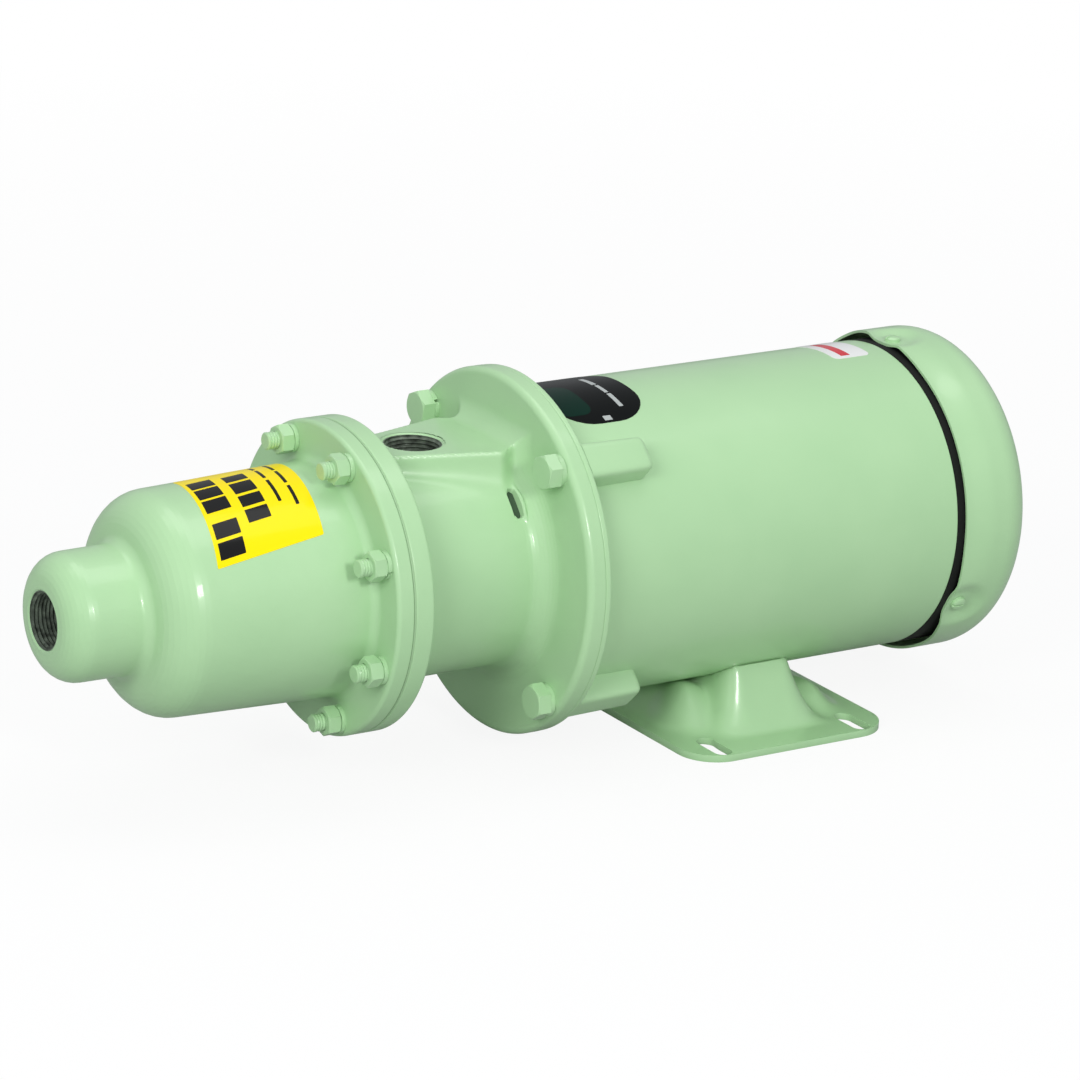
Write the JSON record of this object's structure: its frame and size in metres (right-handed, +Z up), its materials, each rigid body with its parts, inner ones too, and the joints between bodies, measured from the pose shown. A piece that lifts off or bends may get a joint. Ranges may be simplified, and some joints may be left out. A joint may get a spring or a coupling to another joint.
{
  "type": "progressive cavity pump",
  "caption": "Close-coupled progressive cavity pump with a cast stator casing, top suction port and end discharge port, bolted to a C-face electric motor on a stamped base.",
  "frame": {"origin": "on the floor plane, midway between the two front base slots, under the shaft line", "axes": "+X along the shaft from the discharge nose to the fan cover, +Z up along the suction port, -Y towards the side with the labels, +Y towards the conduit box"},
  "size_m": [0.471, 0.1883, 0.1715],
  "materials": {
    "green_paint": "gloss light-green enamel",
    "green_cast_iron": "gloss light-green enamel on cast iron",
    "green_cast_aluminium": "gloss light-green enamel on cast aluminium",
    "steel": "machined",
    "dark_steel": "blackened",
    "laminations": "laminated",
    "aluminium_cast": "die cast",
    "copper_varnished": "varnished copper",
    "elastomer": "moulded",
    "gasket_fibre": "fibre sheet",
    "carbon": "lapped",
    "ceramic_seat": "lapped",
    "fan_plastic": "moulded",
    "bronze": "turned"
  },
  "bodies": {
    "housing": {"stator_casing": "green_cast_iron", "pump_body": "green_cast_iron", "flange_studs": "green_paint", "flange_nuts": "green_paint", "flange_washers": "green_paint", "motor_bolts": "green_paint", "motor_bolt_washers": "green_paint", "motor_front_bell": "green_cast_aluminium", "motor_shell": "green_paint", "motor_rear_bell": "green_cast_aluminium", "fan_cover": "green_paint", "fan_cover_screws": "green_paint", "motor_base": "green_paint", "conduit_box": "green_paint", "conduit_cover": "green_paint", "conduit_screws": "green_paint", "stator_tube": "steel", "stator_support_ring": "steel", "front_bearing_outer": "steel", "rear_bearing_outer": "steel", "wave_washer": "steel", "stator_snap_ring": "dark_steel", "motor_tie_bolts": "dark_steel", "motor_core": "laminations", "motor_windings": "copper_varnished", "stator_liner": "elastomer", "seal_seat_cup": "elastomer", "casing_gasket": "gasket_fibre", "conduit_gasket": "gasket_fibre", "seal_seat": "ceramic_seat"},
    "drive": {"motor_shaft": "steel", "motor_rotor_core": "laminations", "rotor_cage": "aluminium_cast", "cooling_fan": "fan_plastic", "front_bearing_inner": "steel", "rear_bearing_inner": "steel", "pump_shaft": "steel", "shaft_set_screws": "dark_steel", "shaft_key": "steel", "slinger": "elastomer", "seal_head": "carbon", "seal_spring": "steel", "seal_retainer": "steel", "drive_pin": "steel", "drive_pin_sleeve": "steel"},
    "orbit_carrier": {"rotor_pin_sleeve": "steel"},
    "rotor": {"rotor": "steel", "rotor_pin": "steel"},
    "rod": {"connecting_rod": "steel", "rod_bushes": "bronze"},
    "front_cage": {"front_bearing_cage": "steel", "front_bearing_balls": "steel"},
    "rear_cage": {"rear_bearing_cage": "steel", "rear_bearing_balls": "steel"}
  },
  "joints": [
    {"name": "motor_spin", "type": "hinge", "parent": "housing", "child": "drive", "pos_m": [-0.0769, 0, 0.0889], "axis": [1, 0, 0], "continuous": true},
    {"name": "rotor_orbit", "type": "hinge", "parent": "housing", "child": "orbit_carrier", "pos_m": [-0.1849, 0, 0.0889], "axis": [1, 0, 0], "continuous": true},
    {"name": "rotor_spin", "type": "hinge", "parent": "orbit_carrier", "child": "rotor", "pos_m": [-0.1849, 0.0035, 0.0889], "axis": [1, 0, 0], "continuous": true},
    {"name": "rod_spin", "type": "hinge", "parent": "orbit_carrier", "child": "rod", "pos_m": [-0.1849, 0.0035, 0.0889], "axis": [0.9967, -0.0811, 0], "continuous": true},
    {"name": "front_cage_spin", "type": "hinge", "parent": "housing", "child": "front_cage", "pos_m": [-0.0549, 0, 0.0889], "axis": [1, 0, 0], "continuous": true},
    {"name": "rear_cage_spin", "type": "hinge", "parent": "housing", "child": "rear_cage", "pos_m": [0.1131, 0, 0.0889], "axis": [1, 0, 0], "continuous": true}
  ],
  "couplings": [
    {"joint": "rotor_orbit", "follows": "motor_spin", "ratio": -1},
    {"joint": "rotor_spin", "follows": "motor_spin", "ratio": 2},
    {"joint": "rod_spin", "follows": "motor_spin", "ratio": 2},
    {"joint": "front_cage_spin", "follows": "motor_spin", "ratio": 0.3818},
    {"joint": "rear_cage_spin", "follows": "motor_spin", "ratio": 0.3818}
  ]
}
